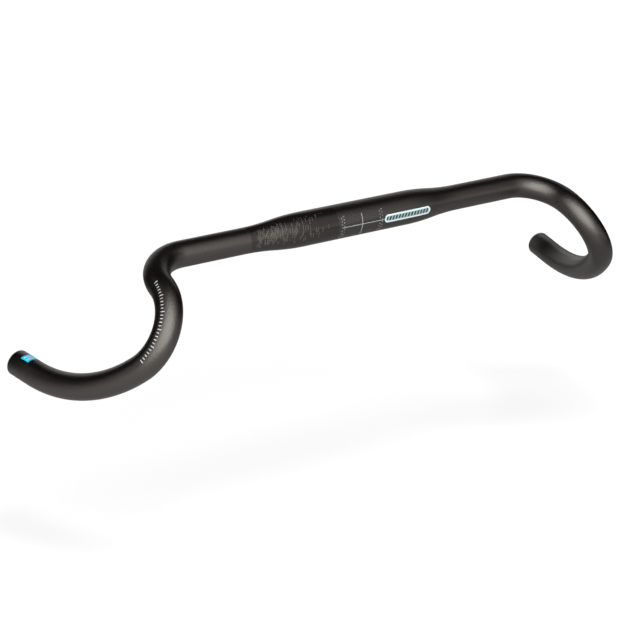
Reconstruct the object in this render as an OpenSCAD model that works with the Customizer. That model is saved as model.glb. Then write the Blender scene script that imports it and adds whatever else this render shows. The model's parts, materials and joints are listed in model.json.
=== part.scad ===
// Flared drop handlebar: one bent, butted aluminium tube and the thin printed films on it.
// The origin is the centre of the stem clamp seat. X runs along the seat towards the rider's left,
// -Y is forwards and Z is up. Lengths are in millimetres and angles in degrees.

/* [Tube] */
// Diameter of the seat for the stem clamp
clamp_d = 31.8; // [28:0.1:35]
// Diameter of the tops and drops
grip_d = 23.8; // [22.2:0.1:25.4]
// Wall thickness of the seat
clamp_wall = 1.9; // [1.5:0.1:3]
// Wall thickness of the tops and drops
grip_wall = 1.5; // [1.1:0.1:2.5]
// Bevel on the two edges of each open end
end_bevel = 0.4; // [0.1:0.05:0.5]
// Extra thickness on each face of the wall in the ramp and drop bends, where bending gathers the metal
bend_swell = 0.06; // [0.05:0.01:0.2]

/* [Middle] */
// Length of the parallel seat
seat_len = 116; // [60:1:140]
// Length of each taper beside the seat
taper_len = 63; // [40:1:65]
// Distance from the centre to the first bend
tops_half = 186; // [150:1:230]

/* [Bends] */
// Fall of the plane in which the tops turn forwards
ramp_fall = 18; // [0:1:30]
// Radius of the bend from the tops to the ramp
ramp_r = 42; // [35:0.5:60]
// Angle of the bend from the tops to the ramp
ramp_angle = 85; // [60:1:95]
// Turn of the hook's plane about the tube, which gives the flare
hook_turn = 120; // [95:1:135]
// Radius of the hook
hook_r = 42.6; // [35:0.1:60]
// Angle of the hook
hook_angle = 115.5; // [90:0.5:140]
// Turn of the drop's plane about the tube, after the hook
drop_turn = 10.5; // [0:0.5:25]
// Radius of the long bend of the drop
drop_r = 149; // [80:1:200]
// Angle of the long bend of the drop
drop_angle = 50; // [20:1:70]
// Straight length at each end
end_len = 23; // [21:1:60]

/* [Film and print] */
// Thickness of the films and of the print
film_t = 0.05; // [0.03:0.01:0.1]
// Width between the two bands of clamp limit dots
clamp_zone = 43; // [36:1:50]
// Lowest angle of the front print, from straight ahead
print_low = -48; // [-60:1:-20]
// Highest angle of the front print
print_high = 33; // [20:1:60]
// Width of the centre line and the level line
line_w = 0.7; // [0.5:0.1:2]
// Angle of the level line below straight ahead
level_drop = 5; // [2:0.5:8]
// Diameter of a clamp limit dot
dot_d = 1; // [0.8:0.1:2]
// Distance from dot to dot round the seat
dot_pitch = 3; // [2:0.1:5]
// Distance between the two rows of a band
dot_row_gap = 2.6; // [2.1:0.1:5]
// Gap between a band of dots and the shoulder film
shoulder_gap = 2; // [0.5:0.5:10]
// Bare length left between the shoulder film and the tops
shoulder_margin = 2; // [0:0.5:20]
// Length of the badge
badge_len = 54; // [30:1:70]
// Height of the badge
badge_h = 7.8; // [4:0.2:12]
// Gap between the level line and the badge
badge_gap = 0.5; // [0.2:0.1:5]

/* [Lever scale] */
// Distance from tick to tick on the hook
tick_pitch = 2.95; // [2:0.05:6]
// Width of a tick
tick_w = 0.7; // [0.4:0.1:1.5]
// Length of a short tick round the tube
tick_short = 2.6; // [1.5:0.1:5]
// Length of a long tick round the tube
tick_long = 3.5; // [2:0.1:8]
// Every such tick is a long one
tick_group = 5; // [2:1:10]
// Place of the scale round the tube, from the outside of the bend
scale_angle = 276; // [240:1:300]
// Turn of the scale round the tube from its first tick to the hook's end
scale_drift = 10; // [0:1:20]
// Bare length of the hook before the first tick
scale_start = 2.7; // [2:0.1:10]
// Bare length of the hook after the last tick
scale_end = 9; // [2:0.5:30]

/* [End label] */
// Length of the label along the tube
label_len = 10; // [6:0.5:12]
// Width of the label round the tube
label_w = 11.5; // [6:0.5:20]
// Distance from the label to the end of the tube
label_inset = 10.5; // [2:0.5:11]
// Place of the label's middle round the tube, from the outside of the drop's bend
label_angle = 202; // [180:1:270]

/* [Hidden] */
$fn = 96;
// The tapers' arcs are long and flat, so they need more steps
taper_fn = 1440;

clamp_r = clamp_d / 2;
grip_r = grip_d / 2;
bore_r = grip_r - grip_wall;
// Length by which a stretch of tube runs into a swollen bend
lap = 0.2;
seat_half = seat_len / 2;
taper_end = seat_half + taper_len;

// Length along the inner ends of the ticks for one degree of the hook
scale_mm_per_deg = (hook_r + grip_r * cos(scale_angle)) * PI / 180;
tick_step = tick_pitch / scale_mm_per_deg;
scale_from = scale_start / scale_mm_per_deg;
scale_span = hook_angle - scale_from - (scale_end + tick_w) / scale_mm_per_deg;
tick_count = floor(scale_span / tick_step) + 1;

level_z = -clamp_r * sin(level_drop);
level_from = -clamp_zone / 2 - dot_row_gap / 2;
badge_from = clamp_zone / 2 + dot_row_gap + dot_d + badge_gap;
dot_step = arc_angle(dot_pitch, clamp_r);

tube_black = "#2a2a2c";
film_black = "#1d1c1c";
print_white = "#eceeed";
badge_pale = "#d5e3e1";
label_blue = "#10bdf0";

// Angle of an arc of some length on a circle of radius r
function arc_angle(length, r) = length / r * 180 / PI;

// Half outline of the middle: parallel seat, S-shaped tapers of two equal arcs, and parallel tops.
// Radii lie along x and the bar's length along y.
module middle_outline(seat_r, tops_r) {
    step = (seat_r - tops_r) / 2;
    arc_r = (pow(taper_len / 2, 2) + pow(step, 2)) / (2 * step);
    translate([0, -seat_half]) square([seat_r, seat_len]);
    for (side = [0, 1]) mirror([0, side]) {
        translate([0, seat_half]) intersection() {
            square([clamp_d, taper_len / 2]);
            translate([seat_r - arc_r, 0]) circle(arc_r, $fn = taper_fn);
        }
        translate([0, seat_half + taper_len / 2]) difference() {
            square([seat_r, taper_len / 2]);
            translate([tops_r + arc_r, taper_len / 2]) circle(arc_r, $fn = taper_fn);
        }
        translate([0, taper_end]) square([tops_r, tops_half + lap - taper_end]);
    }
}

// Revolve a half outline about the bar's own axis
module about_bar() {
    rotate([0, 90, 0]) rotate_extrude() children();
}

module tube_section(swell = 0) {
    difference() {
        circle(grip_r + swell);
        circle(bore_r - swell);
    }
}

module end_outline() {
    polygon([
        [bore_r, -lap], [grip_r, -lap], [grip_r, end_len - end_bevel], [grip_r - end_bevel, end_len],
        [bore_r + end_bevel, end_len], [bore_r, end_len - end_bevel]
    ]);
}

// Sweep a section round part of a bend that leaves the origin along X and turns towards Y.
// In the section, x points away from the bend's centre.
module round_bend(r, angle, from = 0) {
    translate([0, r, 0]) rotate([0, 0, from - 90])
        rotate_extrude(angle = angle) translate([r, 0]) children();
}

// Carry on from the end of such a bend
module past_bend(r, angle) {
    translate([0, r, 0]) rotate([0, 0, angle]) translate([0, -r, 0]) children();
}

// The frames in which each stretch of one half starts, with X along the tube
module at_ramp() {
    translate([tops_half, 0, 0]) children();
}

module at_hook() {
    at_ramp() past_bend(ramp_r, ramp_angle) rotate([-hook_turn, 0, 0]) children();
}

module at_drop() {
    at_hook() past_bend(hook_r, hook_angle) rotate([-drop_turn, 0, 0]) children();
}

module at_end() {
    at_drop() past_bend(drop_r, drop_angle) children();
}

// Set one half in place, on the rider's right or on the left as its mirror image
module right_half() {
    rotate([0, 0, 180]) rotate([-ramp_fall, 0, 0]) children();
}

module left_half() {
    mirror([1, 0, 0]) right_half() children();
}

// The swollen bends take in the ends of the stretches between them
module bent_half() {
    hook_lap = arc_angle(lap, hook_r);
    at_ramp() round_bend(ramp_r, ramp_angle) tube_section(bend_swell);
    at_hook() round_bend(hook_r, hook_angle + 2 * hook_lap, -hook_lap) tube_section();
    at_drop() round_bend(drop_r, drop_angle) tube_section(bend_swell);
    at_end() about_bar() end_outline();
}

module bar_tube() {
    color(tube_black) {
        about_bar() difference() {
            middle_outline(clamp_r, grip_r);
            middle_outline(clamp_r - clamp_wall, bore_r);
        }
        right_half() bent_half();
        left_half() bent_half();
    }
}

// Half outline of a skin of film on the middle
module skin_outline() {
    difference() {
        middle_outline(clamp_r + film_t, grip_r + film_t);
        middle_outline(clamp_r, grip_r);
    }
}

// Print a flat figure on the front of the middle
module front_print() {
    intersection() {
        about_bar() skin_outline();
        rotate([90, 0, 0]) linear_extrude(clamp_d) children();
    }
}

// Section of a strip of film on the grips, from one angle to another
module film_strip(from, angle) {
    reach = grip_d;
    intersection() {
        difference() {
            circle(grip_r + film_t);
            circle(grip_r);
        }
        polygon([[0, 0], reach * [cos(from), sin(from)], reach * [cos(from + angle), sin(from + angle)]]);
    }
}

module shoulder_film() {
    from = -taper_end + shoulder_margin;
    to = -clamp_zone / 2 - dot_row_gap - shoulder_gap;
    color(film_black) about_bar() intersection() {
        skin_outline();
        translate([0, from]) square([clamp_d, to - from]);
    }
}

// One dot on the front of the seat, cut from a patch of film twice as wide
module seat_dot() {
    patch = 2 * dot_d;
    angle = arc_angle(patch, clamp_r);
    intersection() {
        rotate([0, 90, 0]) rotate([0, 0, -90 - angle / 2]) rotate_extrude(angle = angle)
            translate([clamp_r, -patch / 2]) square([film_t, patch]);
        rotate([90, 0, 0]) cylinder(d = dot_d, h = clamp_d);
    }
}

// Each band has two rows of dots, the first a half step lower, and none on the level line
module clamp_limit_dots() {
    color(print_white)
        for (side = [-1, 1])
            for (row = [0, 1])
                for (i = [ceil(print_low / dot_step) : floor(print_high / dot_step)])
                    let (angle = (i - (1 - row) / 2) * dot_step)
                        if (abs(clamp_r * sin(angle) - level_z) > dot_d / 2 + line_w)
                            translate([side * clamp_zone / 2 + (row - 0.5) * dot_row_gap, 0, 0])
                                rotate([-angle, 0, 0]) seat_dot();
}

module centre_cross() {
    low = clamp_r * sin(print_low);
    high = clamp_r * sin(print_high);
    color(print_white) front_print() {
        translate([-line_w / 2, low]) square([line_w, high - low]);
        translate([level_from, level_z - line_w / 2]) square([badge_from - badge_gap - level_from, line_w]);
    }
}

module badge_film() {
    color(badge_pale) front_print() translate([badge_from + badge_h / 2, level_z]) {
        translate([0, -badge_h / 2]) square([badge_len - badge_h, badge_h]);
        circle(d = badge_h);
        translate([badge_len - badge_h, 0]) circle(d = badge_h);
    }
}

module lever_scale() {
    for (i = [0 : tick_count - 1]) {
        long = i % tick_group == 0;
        turn = scale_drift * i * tick_step / hook_angle;
        at_hook() round_bend(hook_r, tick_w / scale_mm_per_deg, scale_from + i * tick_step)
            film_strip(scale_angle + turn, arc_angle(long ? tick_long : tick_short, grip_r));
    }
}

module lever_scale_right() {
    color(print_white) right_half() lever_scale();
}

module lever_scale_left() {
    color(print_white) left_half() lever_scale();
}

module end_label() {
    angle = arc_angle(label_w, grip_r);
    color(label_blue) right_half() at_end() translate([end_len - label_inset, 0, 0])
        rotate([90, 0, -90]) linear_extrude(label_len) film_strip(label_angle - angle / 2, angle);
}

bar_tube();
shoulder_film();
clamp_limit_dots();
centre_cross();
badge_film();
lever_scale_right();
lever_scale_left();
end_label();
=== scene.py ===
# %% [markdown]
# # A drop handlebar, dressed in Blender
# The object is a flared drop handlebar: one aluminium tube, fat in the middle where the stem clamps
# it, slim in the tops, and bent three times on each side. Thin films and prints lie on it. The CAD
# model already has every piece at its real size, so this script only gives the pieces their looks.
# It starts by loading that model as a fixed frame.

# %% Load the frame
import json
import math

import bmesh
import bpy
from mathutils import Matrix, Vector


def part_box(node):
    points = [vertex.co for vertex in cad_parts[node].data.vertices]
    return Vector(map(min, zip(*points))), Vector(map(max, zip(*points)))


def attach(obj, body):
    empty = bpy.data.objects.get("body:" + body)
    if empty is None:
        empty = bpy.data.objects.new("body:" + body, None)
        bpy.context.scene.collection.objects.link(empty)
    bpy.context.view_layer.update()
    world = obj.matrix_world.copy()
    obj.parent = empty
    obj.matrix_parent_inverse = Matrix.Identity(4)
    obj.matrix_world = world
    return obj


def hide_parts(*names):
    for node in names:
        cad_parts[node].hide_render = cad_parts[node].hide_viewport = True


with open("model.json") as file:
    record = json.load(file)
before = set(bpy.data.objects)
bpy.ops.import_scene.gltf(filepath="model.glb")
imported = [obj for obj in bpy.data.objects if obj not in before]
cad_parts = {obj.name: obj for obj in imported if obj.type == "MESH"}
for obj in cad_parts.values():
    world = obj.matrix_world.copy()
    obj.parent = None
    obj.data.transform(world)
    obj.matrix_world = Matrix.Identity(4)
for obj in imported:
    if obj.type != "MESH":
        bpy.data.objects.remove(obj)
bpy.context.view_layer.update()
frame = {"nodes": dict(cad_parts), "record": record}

MM = 0.001
mounts = {mount["name"]: mount for mount in frame["record"]["mounts"]}
print("nodes:", sorted(frame["nodes"]))

# %% [markdown]
# ## The camera
# A product photograph like this one is taken from some way off with a long lens, so that the near
# and the far grip look almost equally thick. The camera stands in front of the bar, to the rider's
# right and a little above. Its place is written as an aim point, two angles and a distance, because
# those are easier to read and to change than a matrix.

# %% Place the camera
VIEW_AZIMUTH = -35.51
VIEW_ELEVATION = 19.18
VIEW_DISTANCE = 1.8949
VIEW_AIM = Vector((-0.0477, 0.0001, -0.0794))
LENS_MM = 119.84
SENSOR_MM = 36


def direction(azimuth, elevation):
    """A unit vector for two angles in degrees. Azimuth 0 is straight ahead of the bike."""
    turn, lift = math.radians(azimuth), math.radians(elevation)
    return Vector((math.sin(turn) * math.cos(lift), -math.cos(turn) * math.cos(lift), math.sin(lift)))


def aim(obj, target, towards, distance):
    """Put a camera or lamp at a distance from a target and turn it to look there."""
    obj.location = target + towards * distance
    obj.rotation_euler = (-towards).to_track_quat("-Z", "Y").to_euler()
    bpy.context.scene.collection.objects.link(obj)


camera_data = bpy.data.cameras.new("view")
camera_data.sensor_width = SENSOR_MM
camera_data.lens = LENS_MM
camera = bpy.data.objects.new("view", camera_data)
aim(camera, VIEW_AIM, direction(VIEW_AZIMUTH, VIEW_ELEVATION), VIEW_DISTANCE)
bpy.context.scene.camera = camera
print("camera at", [round(x, 3) for x in camera.location])

# %% [markdown]
# ## Colours and nodes
# A colour given here is an sRGB hex value, but the renderer adds up light in linear units, so one
# function converts it. Another adds a node: settings go to the node itself, and each input gets
# either a plain value or a link from another node. With these two a whole material reads as a short
# list, in the order in which one would wire it in the node editor.

# %% Convert a colour and add a node
def linear(hex_colour):
    """An sRGB hex colour such as #1c1915 as linear red, green, blue and alpha."""
    shares = [int(hex_colour[i:i + 2], 16) / 255 for i in (1, 3, 5)]
    return [s / 12.92 if s <= 0.04045 else ((s + 0.055) / 1.055) ** 2.4 for s in shares] + [1.0]


def add_node(tree, kind, inputs=None, **settings):
    """Add a node. An input given as a node is linked to that node's first active output."""
    node = tree.nodes.new(kind)
    for name, value in settings.items():
        setattr(node, name, value)
    for name, value in (inputs or {}).items():
        if isinstance(value, bpy.types.Node):
            value = next(output for output in value.outputs if output.enabled)
        if isinstance(value, bpy.types.NodeSocket):
            tree.links.new(value, node.inputs[name])
        else:
            node.inputs[name].default_value = value
    return node


print("warm black in linear light:", [round(x, 4) for x in linear("#0d0b09")[:3]])

# %% [markdown]
# ## Materials in millimetres
# Patterns on the bar are known by their real size, such as strokes 5 mm long. Object coordinates
# come in metres, so they are scaled once, where a material is made. They also stay on the piece
# from every side and need no unwrapping. The films and prints keep the meshes of the CAD model, and
# only change their material.

# %% Start a material, wire its surface, put it on pieces
def new_material(name):
    """An empty material, its node tree and the Object coordinates in mm."""
    material = bpy.data.materials.new(name)
    material.use_nodes = True
    tree = material.node_tree
    tree.nodes.clear()
    metres = add_node(tree, "ShaderNodeTexCoord").outputs["Object"]
    place = add_node(tree, "ShaderNodeVectorMath", {0: metres, "Scale": 1 / MM}, operation="SCALE")
    return material, tree, place


def add_surface(tree, inputs):
    """A Principled shader with these inputs, wired to the material's output."""
    shader = add_node(tree, "ShaderNodeBsdfPrincipled", inputs)
    add_node(tree, "ShaderNodeOutputMaterial", {"Surface": shader})


def paint(material, *names):
    """Give CAD nodes this material alone."""
    for name in names:
        slots = frame["nodes"][name].data.materials
        slots.clear()
        slots.append(material)
    print(material.name, "on", ", ".join(names))


print("patterns are drawn in units of", MM, "m")

# %% [markdown]
# ## The tube
# On the real bar a straight tube is swaged thinner outside its middle, then bent cold round three
# formers on each side. A curve with a round bevel could give the outside, but not the taper of both
# walls and the rim at the end. A spin does what the bending former does: it carries a ring of
# vertices round an axis. So each wall of one half starts as a ring at the bar's centre, is drawn out
# through the seat, the taper and the tops, and is spun round the three bends. The sizes of the seat,
# tops and bore come from the frame's mounts. The bends repeat the CAD model's radii and angles.

# %% Sizes of the tube
SIDES = 96
RING_STEP = 2.5 * MM
TAPER_RINGS = 32
END_BEVEL = 0.4 * MM
CLAMP_WALL = 1.9 * MM
RAMP_FALL = math.radians(18)
# turn of the bend's plane about the tube, radius and angle of the ramp, hook and drop
BENDS = [(0, 42 * MM, 85), (120, 42.6 * MM, 115.5), (10.5, 149 * MM, 50)]

seat_r = mounts["stem_clamp"]["dims"]["r_mm"] * MM
seat_half = mounts["stem_clamp"]["dims"]["length_mm"] * MM / 2
grip_r = mounts["tops_left"]["dims"]["r_mm"] * MM
tops_len = mounts["tops_left"]["dims"]["length_mm"] * MM
taper_end = mounts["tops_left"]["pos_m"][0] - tops_len / 2
taper_len = taper_end - seat_half
bore_r = mounts["bar_end_left"]["dims"]["r_mm"] * MM
end_len = mounts["bar_end_left"]["dims"]["length_mm"] * MM + END_BEVEL
print("seat, grip and bore radius in mm:", [round(r / MM, 2) for r in (seat_r, grip_r, bore_r)])

# %% [markdown]
# ## Drawing out a ring
# Extruding only the edges of a ring leaves a band of faces behind it, like a telescope pulled open.
# A matrix then moves the new ring, and in the taper shrinks it too. The operators hand back a mixed
# list of what they made, so one helper picks the new ring out of it. Doubles are dropped by the keys
# of a dict, because these keep their order and a set doesn't. The taper is an S of two equal arcs,
# because a swaging die leaves no corner.

# %% Draw out a ring
def ring_edges(elements):
    """The vertices among some elements, and the edges that have both ends among them."""
    verts = [e for e in elements if isinstance(e, bmesh.types.BMVert)]
    known = set(verts)
    edges = [e for v in verts for e in v.link_edges if known.issuperset(e.verts)]
    return verts, list(dict.fromkeys(edges))


def ring_verts(ring):
    """The vertices of a ring of edges."""
    return list(dict.fromkeys(v for edge in ring for v in edge.verts))


def draw_out(bm, ring, matrix):
    """Extrude a ring and move the new one by a matrix."""
    grown = bmesh.ops.extrude_edge_only(bm, edges=ring)
    verts, edges = ring_edges(grown["geom"])
    bmesh.ops.transform(bm, matrix=matrix, verts=verts)
    return edges


def taper_radius(t, start_r, end_r):
    """Radius at a distance t into the S-shaped taper, which is two equal arcs."""
    step = (start_r - end_r) / 2
    arc_r = ((taper_len / 2) ** 2 + step ** 2) / (2 * step)
    if t < taper_len / 2:
        return start_r - arc_r + math.sqrt(arc_r ** 2 - t ** 2)
    return end_r + arc_r - math.sqrt(arc_r ** 2 - (taper_len - t) ** 2)


print("radius in mm half way down the taper:", round(taper_radius(taper_len / 2, seat_r, grip_r) / MM, 2))

# %% [markdown]
# ## One wall, from the middle to the open end
# The straight stretches need no rings between their ends, and the bends need many. The matrix named
# here walks along the tube's centre line: its X axis points along the tube, and its Y axis to the
# centre of the next bend. Turning it about X between two bends puts each bend in a plane of its own,
# as the bender does by rolling the tube in the machine. That is what flares the drops outwards.

# %% Sweep one wall
def sweep_wall(bm, start_r, end_r, last_len):
    """One wall of a half, along X and then round the bends. Returns the ring at its open end."""
    across = Matrix.Rotation(math.radians(90), 4, "Y")
    made = bmesh.ops.create_circle(bm, segments=SIDES, radius=start_r, matrix=across)
    ring = ring_edges(made["verts"])[1]
    ring = draw_out(bm, ring, Matrix.Translation((seat_half, 0, 0)))
    radius = start_r
    for i in range(1, TAPER_RINGS + 1):
        new_radius = taper_radius(taper_len * i / TAPER_RINGS, start_r, end_r)
        shrink = Matrix.Diagonal((1, new_radius / radius, new_radius / radius, 1))
        ring = draw_out(bm, ring, Matrix.Translation((taper_len / TAPER_RINGS, 0, 0)) @ shrink)
        radius = new_radius
    ring = draw_out(bm, ring, Matrix.Translation((tops_len, 0, 0)))
    here = Matrix.Translation((taper_end + tops_len, 0, 0))
    for turn, bend_r, angle in BENDS:
        here = here @ Matrix.Rotation(math.radians(-turn), 4, "X")
        spun = bmesh.ops.spin(
            bm, geom=ring_verts(ring) + ring, cent=here @ Vector((0, bend_r, 0)),
            axis=here.to_3x3() @ Vector((0, 0, 1)), angle=math.radians(angle),
            steps=round(math.radians(angle) * bend_r / RING_STEP))
        ring = ring_edges(spun["geom_last"])[1]
        to_centre = Matrix.Translation((0, bend_r, 0))
        here = here @ to_centre @ Matrix.Rotation(math.radians(angle), 4, "Z") @ to_centre.inverted()
    along = here.to_3x3() @ Vector((last_len, 0, 0))
    return draw_out(bm, ring, Matrix.Translation(along))


print("each side turns through", sum(angle for _, _, angle in BENDS), "degrees in", len(BENDS), "bends")

# %% [markdown]
# ## Two walls and a rim
# The inner wall follows the same route as the outer one, and a rim joins the two at the open end.
# Bridging two rings that lie in one plane can pair their vertices crosswise, because the operator
# lines the rings up by the direction from one centre to the other. So the inner wall first stops a
# little short, the rings are bridged, and the inner ring is then moved out to be flush. Both edges
# of the rim get a small round, as a sawn tube is deburred. The bevel goes by the faces' normals, so
# these are set right before it.

# %% Join the walls
def ring_centre(ring):
    """The middle of a ring of edges."""
    verts = ring_verts(ring)
    return sum((v.co for v in verts), Vector()) / len(verts)


bm = bmesh.new()
outer_end = sweep_wall(bm, seat_r, grip_r, end_len)
inner_end = sweep_wall(bm, seat_r - CLAMP_WALL, bore_r, end_len - END_BEVEL)
rim = outer_end + inner_end
bmesh.ops.bridge_loops(bm, edges=rim)
back_out = ring_centre(outer_end) - ring_centre(inner_end)
bmesh.ops.translate(bm, vec=back_out, verts=ring_verts(inner_end))
bmesh.ops.recalc_face_normals(bm, faces=bm.faces)
bmesh.ops.bevel(bm, geom=rim, offset=END_BEVEL, offset_type="OFFSET", segments=3, profile=0.5,
                affect="EDGES", material=-1)
print("half of the tube:", len(bm.faces), "faces")

# %% [markdown]
# ## The other half
# The half was built along X, with its ramp level. It is turned to the rider's right and tipped by
# the fall of the ramps, and a mirror across the middle makes the left half and merges the seam. A
# mirror can leave faces inside out, so the normals are set once more. A volume near that of the CAD
# tube and no open edges show that both walls face the right way. All faces are shaded smooth, also
# on the rim, whose rounds have faces enough for that. The operators number vertices and faces in
# another order on each run, so both are sorted along a slant, and the mesh is always the same.

# %% Turn and mirror the half
SEAM = 0.001 * MM
CM3 = 1e-6


def along_slant(point):
    """How far a point lies along a slant that is level with none of the bar's rings."""
    return point.x + 0.6180 * point.y + 0.3247 * point.z


right_half = Matrix.Rotation(math.pi, 4, "Z") @ Matrix.Rotation(-RAMP_FALL, 4, "X")
bmesh.ops.transform(bm, matrix=right_half, verts=bm.verts)
bmesh.ops.mirror(bm, geom=bm.verts[:] + bm.edges[:] + bm.faces[:], axis="X", merge_dist=SEAM)
bmesh.ops.recalc_face_normals(bm, faces=bm.faces)
for face in bm.faces:
    face.smooth = True
bm.verts.sort(key=lambda vert: along_slant(vert.co))
bm.faces.sort(key=lambda face: along_slant(face.calc_center_median()))
print("tube:", len(bm.faces), "faces,", round(bm.calc_volume(signed=True) / CM3, 2), "cm3 of metal,",
      sum(not edge.is_manifold for edge in bm.edges), "open edges")

# %% [markdown]
# ## The tube in the frame
# The finished mesh takes the place of the CAD model's tube, on the same body and in the same
# material slot. Its place is in the mesh, so the object itself stays at the origin, unturned.

# %% Put the tube in place of the plain one
tube_mesh = bpy.data.meshes.new("handlebar_tube")
bm.to_mesh(tube_mesh)
bm.free()
tube = bpy.data.objects.new("handlebar_tube", tube_mesh)
bpy.context.scene.collection.objects.link(tube)
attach(tube, "root")
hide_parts("bar_tube")
print("tube in mm:", [round(side / MM, 1) for side in tube.dimensions])

# %% [markdown]
# ## Black anodised aluminium
# The tube is bead-blasted, then anodised and dyed black. Blasting leaves shallow dimples that turn
# each reflection into a broad, faintly grainy glow. The dye sits in a clear oxide layer, so the eye
# meets a dielectric over a warm black, and the metal underneath no longer shows. That is why this
# material isn't metallic. Its IOR starts from that of the oxide, about 1.8, and is a little higher to
# match the bright rims of the bar.

# %% The tube's finish
GRIT_MM = 1.5          # real dimples are about 0.1 mm; drawn coarser, so that they show
DIMPLE_MM = 0.2
DYE_CLOUD_MM = 14      # slow drift of the dye's depth
WARM_GLOSS = "#fff7ef"

anodised, tree, place = new_material("black_anodised_aluminium")
clouds = add_node(tree, "ShaderNodeTexNoise", {"Vector": place, "Scale": 1 / DYE_CLOUD_MM})
dye = add_node(tree, "ShaderNodeMix", {
    "Factor": clouds, "A": linear("#090604"), "B": linear("#0c0906")}, data_type="RGBA")
grit = add_node(tree, "ShaderNodeTexNoise", {"Vector": place, "Scale": 1 / GRIT_MM, "Detail": 3.0})
dimples = add_node(tree, "ShaderNodeBump", {"Height": grit, "Strength": 1.0, "Distance": DIMPLE_MM * MM})
sheen = add_node(tree, "ShaderNodeMapRange", {"Value": grit, "To Min": 0.25, "To Max": 0.33})
add_surface(tree, {"Base Color": dye, "Roughness": sheen, "Normal": dimples, "IOR": 2.0,
                   "Specular Tint": linear(WARM_GLOSS)})
tube_mesh.materials.append(anodised)
print(anodised.name, "on", tube.name)

# %% [markdown]
# ## Dark film on the shoulder
# From the right clamp limit out over the shoulder the tube wears a gloss film, smoother than the
# anodising. Pale grey strokes are printed on it. A picture of them would need an unwrapped mesh, so
# they are drawn by nodes instead, on the film unrolled flat: X runs along the bar, and Y is the way
# round it in mm, which is the angle about the bar's axis times the radius.

# %% Unroll the film
film, tree, place = new_material("dark_gloss_film")
axes = add_node(tree, "ShaderNodeSeparateXYZ", {"Vector": place})
along = axes.outputs["X"]
forwards = add_node(tree, "ShaderNodeMath", {0: axes.outputs["Y"], 1: -1.0}, operation="MULTIPLY")
angle = add_node(tree, "ShaderNodeMath", {0: axes.outputs["Z"], 1: forwards}, operation="ARCTAN2")
around = add_node(tree, "ShaderNodeMath", {0: angle, 1: seat_r / MM}, operation="MULTIPLY")
flat = add_node(tree, "ShaderNodeCombineXYZ", {"X": along, "Y": around})
shoulder_low, shoulder_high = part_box("shoulder_film")
film_start, film_end = shoulder_low.x / MM, shoulder_high.x / MM
print("film from", round(film_start, 1), "to", round(film_end, 1), "mm along the bar")

# %% [markdown]
# ## Strokes on the film
# A brick pattern turned to a slant gives staggered strokes, and a random grey for each brick. A
# stroke is printed only where its grey is above a threshold. The threshold rises towards the clamp,
# and above and below the front of the bar, so the strokes thin out there. At the outer edge a narrow
# margin stays bare.

# %% Print the strokes
STROKE_MM = 5
STROKE_GAP_MM = 0.4
STROKE_ROW_MM = 1.25
STROKE_SLANT = math.radians(98)
DENSE_TO_MM = 12                   # from the outer edge, before the strokes thin out
DENSE_BARE = 0.35                  # share of strokes left out where they are densest
MARGIN_MM, MARGIN_END_MM = 5, 9    # from the outer edge, where the print sets in
PRINT_MIDDLE = math.radians(20)    # above straight ahead
PRINT_FULL, PRINT_END = 0.25, 0.8  # to either side of that, in radians

turned = add_node(tree, "ShaderNodeMapping", {"Vector": flat, "Rotation": (0, 0, STROKE_SLANT)})
strokes = add_node(tree, "ShaderNodeTexBrick", {
    "Vector": turned, "Color1": linear("#000000"), "Color2": linear("#ffffff"), "Mortar": linear("#000000"),
    "Scale": 1.0, "Mortar Size": STROKE_GAP_MM, "Brick Width": STROKE_MM, "Row Height": STROKE_ROW_MM})
thinning = add_node(tree, "ShaderNodeMapRange", {
    "Value": along, "From Min": film_start + DENSE_TO_MM, "From Max": film_end,
    "To Min": DENSE_BARE, "To Max": 1.0})
side = add_node(tree, "ShaderNodeMath", {0: angle, 1: PRINT_MIDDLE}, operation="SUBTRACT")
side = add_node(tree, "ShaderNodeMath", {0: side}, operation="ABSOLUTE")
side = add_node(tree, "ShaderNodeMapRange", {"Value": side, "From Min": PRINT_FULL, "From Max": PRINT_END})
bare = add_node(tree, "ShaderNodeMath", {0: thinning, 1: side}, operation="MAXIMUM")
margin = add_node(tree, "ShaderNodeMapRange", {
    "Value": along, "From Min": film_start + MARGIN_MM, "From Max": film_start + MARGIN_END_MM,
    "To Min": 1.0, "To Max": 0.0})
bare = add_node(tree, "ShaderNodeMath", {0: bare, 1: margin}, operation="MAXIMUM")
ink = add_node(tree, "ShaderNodeMath", {0: strokes, 1: bare}, operation="GREATER_THAN")
print("strokes of", STROKE_MM, "mm in rows of", STROKE_ROW_MM, "mm")

# %% [markdown]
# ## Gloss of the film
# Gloss vinyl film starts from an IOR of about 1.5 and a low roughness, and is then matched to the
# bar. The ink lies on top of it and is duller, so its strokes show by their colour and by a broader
# glow.

# %% The shoulder film's finish
colour = add_node(tree, "ShaderNodeMix", {
    "Factor": ink, "A": linear("#171513"), "B": linear("#5a5750")}, data_type="RGBA")
gloss = add_node(tree, "ShaderNodeMapRange", {"Value": ink, "To Min": 0.15, "To Max": 0.32})
add_surface(tree, {"Base Color": colour, "Roughness": gloss, "IOR": 1.7,
                   "Specular Tint": linear(WARM_GLOSS)})
paint(film, "shoulder_film")

# %% [markdown]
# ## White screen print
# The dots, the centring cross and the lever ticks are pushed through a screen. A coat that thin never
# covers fully: the black underneath greys it, and more so in patches. The marks on the clamp seat
# are printed thinner than the ticks, so they are the greyer ones. Two shades mixed by a noise give
# the patches.

# %% The print's finish
INK_PATCH_MM = 1.2
INKS = [
    ("white_screen_print", "#b9bfbc", "#eef3f0", ("lever_scale_right", "lever_scale_left")),
    ("thin_screen_print", "#7c8280", "#b6bdba", ("clamp_limit_dots", "centre_cross"))]

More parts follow.
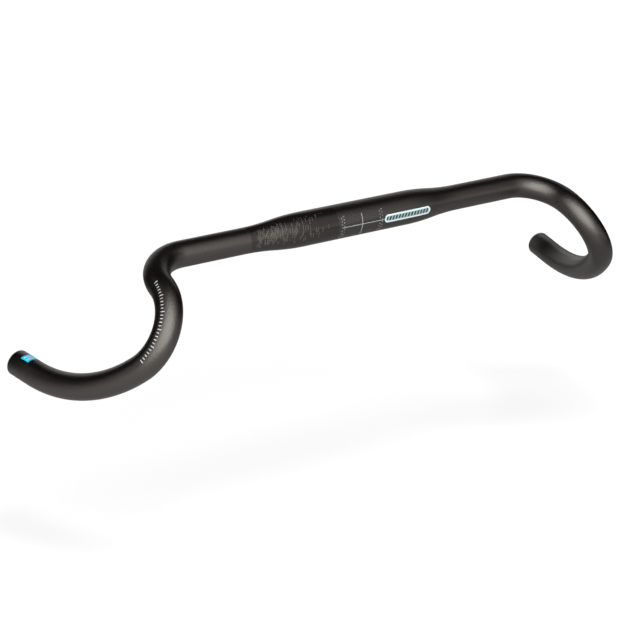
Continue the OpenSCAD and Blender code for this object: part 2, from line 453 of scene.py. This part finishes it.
for name, thin, thick, nodes in INKS:
    ink, tree, place = new_material(name)
    patches = add_node(tree, "ShaderNodeTexNoise", {
        "Vector": place, "Scale": 1 / INK_PATCH_MM, "Detail": 2.0})
    colour = add_node(tree, "ShaderNodeMix", {
        "Factor": patches, "A": linear(thin), "B": linear(thick)}, data_type="RGBA")
    add_surface(tree, {"Base Color": colour, "Roughness": 0.6})
    paint(ink, *nodes)

# %% [markdown]
# ## Pale badge film
# Left of the clamp sits a capsule of pale green-white film, with a grey-blue field inside its rim
# and a row of dark slanted bars. The capsule's outline is the set of points at one distance from a
# short line, so the distance to that line separates rim from field. Near a badge this small the
# tube is almost flat, so X and Z will do for its two directions.

# %% Measure from the badge's middle line
RIM_MM = 1.3

badge_low, badge_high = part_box("badge_film")
badge_centre = (badge_low + badge_high) / 2 / MM
badge_half = (badge_high - badge_low) / 2 / MM
field_edge = badge_half.z - RIM_MM
pale, tree, place = new_material("pale_badge_film")
local = add_node(tree, "ShaderNodeVectorMath", {0: place, 1: badge_centre}, operation="SUBTRACT")
axes = add_node(tree, "ShaderNodeSeparateXYZ", {"Vector": local})
along = add_node(tree, "ShaderNodeMath", {0: axes.outputs["X"]}, operation="ABSOLUTE")
past = add_node(tree, "ShaderNodeMath", {0: along, 1: badge_half.x - badge_half.z}, operation="SUBTRACT")
past = add_node(tree, "ShaderNodeMath", {0: past, 1: 0.0}, operation="MAXIMUM")
offset = add_node(tree, "ShaderNodeCombineXYZ", {"X": past, "Y": axes.outputs["Z"]})
distance = add_node(tree, "ShaderNodeVectorMath", {0: offset}, operation="LENGTH").outputs["Value"]
print("badge in mm:", round(2 * badge_half.x, 1), "by", round(2 * badge_half.z, 1))

# %% [markdown]
# ## Bars on the badge
# A remainder makes one bar in every pitch, and adding a share of the height to the length leans the
# bars. They keep a small distance from the field's edge.

# %% The badge's finish
FIELD_SOFT_MM = 0.4
BAR_INSET_MM = 0.7
BAR_PITCH_MM = 3.6
BAR_SHARE = 0.62
BAR_LEAN = 0.35

field = add_node(tree, "ShaderNodeMapRange", {
    "Value": distance, "From Min": field_edge, "From Max": field_edge - FIELD_SOFT_MM})
lean = add_node(tree, "ShaderNodeMath", {0: axes.outputs["Z"], 1: -BAR_LEAN, 2: axes.outputs["X"]},
                operation="MULTIPLY_ADD")
phase = add_node(tree, "ShaderNodeMath", {0: lean, 1: BAR_PITCH_MM}, operation="FLOORED_MODULO")
bar = add_node(tree, "ShaderNodeMath", {0: phase, 1: BAR_PITCH_MM * BAR_SHARE}, operation="LESS_THAN")
inner = add_node(tree, "ShaderNodeMath", {0: distance, 1: field_edge - BAR_INSET_MM}, operation="LESS_THAN")
bar = add_node(tree, "ShaderNodeMath", {0: bar, 1: inner}, operation="MULTIPLY")
colour = add_node(tree, "ShaderNodeMix", {
    "Factor": field, "A": linear("#dcefea"), "B": linear("#9fb9bd")}, data_type="RGBA")
colour = add_node(tree, "ShaderNodeMix", {
    "Factor": bar, "A": colour, "B": linear("#30363a")}, data_type="RGBA")
add_surface(tree, {"Base Color": colour, "Roughness": 0.35})
paint(pale, "badge_film")

# %% [markdown]
# ## Blue end label
# A small bright blue label of vinyl film is stuck near the right end, with two white bars across it.
# The end points in no handy direction, so X, Y and Z won't do here. How far a point lies along the
# end's axis is a dot product with that axis, and how far to the side is one with a direction across.

# %% The label's finish
BAR_WIDE_MM = 2.2
BAR_STEP_MM = 4.0
BAR_REACH_MM = 4.3

right_end = mounts["bar_end_right"]
end_axis = Vector(right_end["axis"])
label_low, label_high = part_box("end_label")
label_centre = (label_low + label_high) / 2
outwards = label_centre - Vector(right_end["pos_m"])
sideways = end_axis.cross(outwards).normalized()

blue, tree, place = new_material("blue_label_film")
local = add_node(tree, "ShaderNodeVectorMath", {0: place, 1: label_centre / MM}, operation="SUBTRACT")
along = add_node(tree, "ShaderNodeVectorMath", {0: local, 1: end_axis}, operation="DOT_PRODUCT")
along = add_node(tree, "ShaderNodeMath", {0: along.outputs["Value"]}, operation="ABSOLUTE")
along = add_node(tree, "ShaderNodeMath", {0: along, 1: BAR_STEP_MM / 2, 2: BAR_WIDE_MM / 2},
                 operation="COMPARE")
side = add_node(tree, "ShaderNodeVectorMath", {0: local, 1: sideways}, operation="DOT_PRODUCT")
side = add_node(tree, "ShaderNodeMath", {0: side.outputs["Value"], 1: 0.0, 2: BAR_REACH_MM},
                operation="COMPARE")
bar = add_node(tree, "ShaderNodeMath", {0: along, 1: side}, operation="MULTIPLY")
colour = add_node(tree, "ShaderNodeMix", {
    "Factor": bar, "A": linear("#00d6ff"), "B": linear("#b4e6f6")}, data_type="RGBA")
add_surface(tree, {"Base Color": colour, "Roughness": 0.35})
paint(blue, "end_label")

# %% [markdown]
# ## The paper floor
# The bar hangs over a large sheet of white paper. A floor that is only a little larger than the
# picture would show its edges in other views, so it reaches far out. It is part of the studio and
# not of the bar.

# %% Lay out the paper
FLOOR_Z = -0.245
FLOOR_REACH = 12

floor_mesh = bpy.data.meshes.new("floor")
bm = bmesh.new()
bmesh.ops.create_grid(bm, x_segments=1, y_segments=1, size=FLOOR_REACH)
bmesh.ops.translate(bm, vec=(0, 0, FLOOR_Z), verts=bm.verts)
bm.to_mesh(floor_mesh)
bm.free()
floor = bpy.data.objects.new("floor", floor_mesh)
bpy.context.scene.collection.objects.link(floor)
print("paper of", [round(side, 1) for side in floor.dimensions[:2]], "m, at", FLOOR_Z, "m")

# %% [markdown]
# ## White paper
# The camera should see plain white paper with a faint shadow, while the bar should see a soft grey
# one, or its belly would glow. More light on the paper would light the bar too. So the paper's colour
# is grey, with painted shade that darkens it further off, and a glow that only camera rays see makes
# up for it. A strength of 1 is white. Under the bar the glow is weaker, because a lamp lights the
# paper there as well, and where the bar blocks that lamp the shadow shows. In reflections the paper
# is darker still, by painted shade, and a painted glow brightens it in front, where the soft box
# stands.

# %% The paper's finish
POOL_GLOW = 0.59                 # for the camera, under the bar
PAPER_GLOW = 1.0                 # and further off, where no lamp helps
POOL_MM = 350, 1400              # where the one goes over into the other
PAINTED_FALLOFF_MM = 560, 1500              # where painted shade darkens the paper's colour
PAINTED_REFLECTION_DIMMING = 0.25                  # share of its colour that painted shade takes from the paper in reflections
FRONT_GLOW = 1.07                # painted glow that reflections see there, towards the soft box
FRONT_AZIMUTH = -47
FRONT_MM = -5, 1580

paper, tree, place = new_material("white_paper")
rays = add_node(tree, "ShaderNodeLightPath")
far = add_node(tree, "ShaderNodeVectorMath", {0: place}, operation="LENGTH").outputs["Value"]
# Painted shade: the paper's grey darkens further from the bar.
painted_falloff = add_node(tree, "ShaderNodeMapRange", {"Value": far, "From Min": PAINTED_FALLOFF_MM[0], "From Max": PAINTED_FALLOFF_MM[1]})
shade = add_node(tree, "ShaderNodeMix", {
    "Factor": painted_falloff, "A": linear("#929292"), "B": linear("#484848")}, data_type="RGBA")
# Painted shade that only reflections see: the paper's colour is darker for glossy rays.
painted_reflection_dimming = add_node(tree, "ShaderNodeMath", {0: rays.outputs["Is Glossy Ray"], 1: PAINTED_REFLECTION_DIMMING},
                  operation="MULTIPLY")
shade = add_node(tree, "ShaderNodeMix", {
    "Factor": painted_reflection_dimming, "A": shade, "B": linear("#000000")}, data_type="RGBA")
far = add_node(tree, "ShaderNodeMapRange", {"Value": far, "From Min": POOL_MM[0], "From Max": POOL_MM[1]})
white = add_node(tree, "ShaderNodeMapRange", {"Value": far, "To Min": POOL_GLOW, "To Max": PAPER_GLOW})
# Painted glow that only reflections see, brighter towards the soft box.
ahead = add_node(tree, "ShaderNodeVectorMath", {0: place, 1: direction(FRONT_AZIMUTH, 0)},
                 operation="DOT_PRODUCT")
front = add_node(tree, "ShaderNodeMapRange", {
    "Value": ahead.outputs["Value"], "From Min": FRONT_MM[0], "From Max": FRONT_MM[1],
    "To Min": 0.0, "To Max": FRONT_GLOW})
front = add_node(tree, "ShaderNodeMath", {0: front, 1: rays.outputs["Is Glossy Ray"]}, operation="MULTIPLY")
glow = add_node(tree, "ShaderNodeMath", {0: white, 1: rays.outputs["Is Camera Ray"], 2: front},
                operation="MULTIPLY_ADD")
add_surface(tree, {"Base Color": shade, "Roughness": 0.9, "Specular IOR Level": 0.0,
                   "Emission Color": linear("#ffffff"), "Emission Strength": glow})
floor_mesh.materials.append(paper)
print(paper.name, "on", floor.name)

# %% [markdown]
# ## The lamp overhead
# One area lamp above the bar draws its shadow. The larger the lamp, the softer the shadow, and its
# long side lies across the picture. It stands a little to the right and to the front, so that the
# whole shadow falls inside the picture. Light linking lets it shine on the paper alone: the bar still
# blocks its light but takes none, so its black stays as it is.

# %% Hang the lamp
LAMP_SIZE = 1.6, 0.8
LAMP_WATTS = 60
LAMP_HEIGHT = 2.0
LAMP_TO_RIGHT = 0.6
LAMP_TO_FRONT = 0.2

overhead_data = bpy.data.lights.new("overhead", "AREA")
overhead_data.shape = "RECTANGLE"
overhead_data.size, overhead_data.size_y = LAMP_SIZE
overhead_data.energy = LAMP_WATTS
overhead = bpy.data.objects.new("overhead", overhead_data)
aim(overhead, Vector((0, 0, 0)), Vector((0, 0, 1)), LAMP_HEIGHT)
overhead.rotation_euler.z = math.radians(VIEW_AZIMUTH)
to_right = direction(VIEW_AZIMUTH + 90, 0)
to_front = direction(VIEW_AZIMUTH, 0)
overhead.location += to_right * LAMP_TO_RIGHT + to_front * LAMP_TO_FRONT
overhead.visible_camera = False
overhead.visible_glossy = False
paper_only = bpy.data.collections.new("paper_only")
paper_only.objects.link(floor)
overhead.light_linking.receiver_collection = paper_only

# %% [markdown]
# ## The light tent
# A black tube shows little but what it reflects, so such things are photographed in a tent of white
# cloth that is lit from outside. Area lamps round the bar would each leave a patch with hard edges
# on it. A sphere that glows inwards can be bright in one place and dark in another, with soft
# passages between. The camera looks through it, and it casts no shadow.

# %% Put up the tent
TENT_R = 1.6
TENT_CENTRE = Vector((0, 0, -0.05))

tent_mesh = bpy.data.meshes.new("light_tent")
bm = bmesh.new()
bmesh.ops.create_uvsphere(bm, u_segments=64, v_segments=32, radius=TENT_R)
bmesh.ops.translate(bm, vec=TENT_CENTRE, verts=bm.verts)
bm.to_mesh(tent_mesh)
bm.free()
tent = bpy.data.objects.new("light_tent", tent_mesh)
bpy.context.scene.collection.objects.link(tent)
tent.visible_camera = False
tent.visible_shadow = False
print("tent of", round(tent.dimensions.x, 1), "m across")

# %% [markdown]
# ## Light on the tent
# Each light on the cloth is a round patch, given by the direction of its middle, the angles at which
# it ends and at which it is even, and its brightness. The dot product of two directions is the
# cosine of the angle between them, so a smooth step between two cosines makes a soft patch. The
# large soft box beside the camera gives the broad glow along the tube, the wall behind rims its upper
# edge, and the dark cloth between them keeps the bar black.

# %% Light the tent
# azimuth, elevation, angle at which the light ends, angle of its even middle, brightness
CARDS = [
    (-32, 22, 58, 12, 2.55),     # soft box beside the camera
    (0, 37, 57, 1, 0.68),        # its stray light higher up
    (40, -22, 47, 1, 0.62),      # low card on the right
    (-93, -13, 45, 16, 0.39),    # low card on the left
    (-102, 36, 30, 8, 0.21),     # high card on the left
    (127, 23, 20, 12, 0.34),     # card behind on the right
    (162, 0, 42, 14, 0.53)]      # wall behind

cloth, tree, place = new_material("lit_cloth")
inside = add_node(tree, "ShaderNodeVectorMath", {0: place, 1: TENT_CENTRE / MM}, operation="SUBTRACT")
inside = add_node(tree, "ShaderNodeVectorMath", {0: inside}, operation="NORMALIZE")
glow = None
for azimuth, elevation, outer, inner, bright in CARDS:
    facing = add_node(tree, "ShaderNodeVectorMath", {0: inside, 1: direction(azimuth, elevation)},
                      operation="DOT_PRODUCT")
    card = add_node(tree, "ShaderNodeMapRange", {
        "Value": facing.outputs["Value"], "From Min": math.cos(math.radians(outer)),
        "From Max": math.cos(math.radians(inner)), "To Max": bright}, interpolation_type="SMOOTHSTEP")
    glow = add_node(tree, "ShaderNodeMath", {0: card, 1: glow or 0.0}, operation="ADD")
add_surface(tree, {"Base Color": linear("#000000"), "Roughness": 1.0, "Specular IOR Level": 0.0,
                   "Emission Color": linear("#ffffff"), "Emission Strength": glow})
tent_mesh.materials.append(cloth)
print(cloth.name, "with", len(CARDS), "lights on", tent.name)

# %% [markdown]
# ## The white background
# Past the edge of the paper the camera looks into the world. It is white for the camera, and for
# reflections that look past the tent, and gives no other light, so it can't wash out the bar. The
# Standard view transform shows colours as they are written.

# %% Whiten the background
world = bpy.data.worlds.new("studio")
bpy.context.scene.world = world
world.use_nodes = True
tree = world.node_tree
tree.nodes.clear()
rays = add_node(tree, "ShaderNodeLightPath")
white = rays.outputs["Is Camera Ray"]
for kind in ("Is Glossy Ray", "Is Transmission Ray"):
    white = add_node(tree, "ShaderNodeMath", {0: white, 1: rays.outputs[kind]}, operation="MAXIMUM")
light = add_node(tree, "ShaderNodeBackground", {"Strength": white, "Color": linear("#ffffff")})
add_node(tree, "ShaderNodeOutputWorld", {"Surface": light})
bpy.context.scene.view_settings.view_transform = "Standard"
print("world:", world.name, "shown with", bpy.context.scene.view_settings.view_transform)
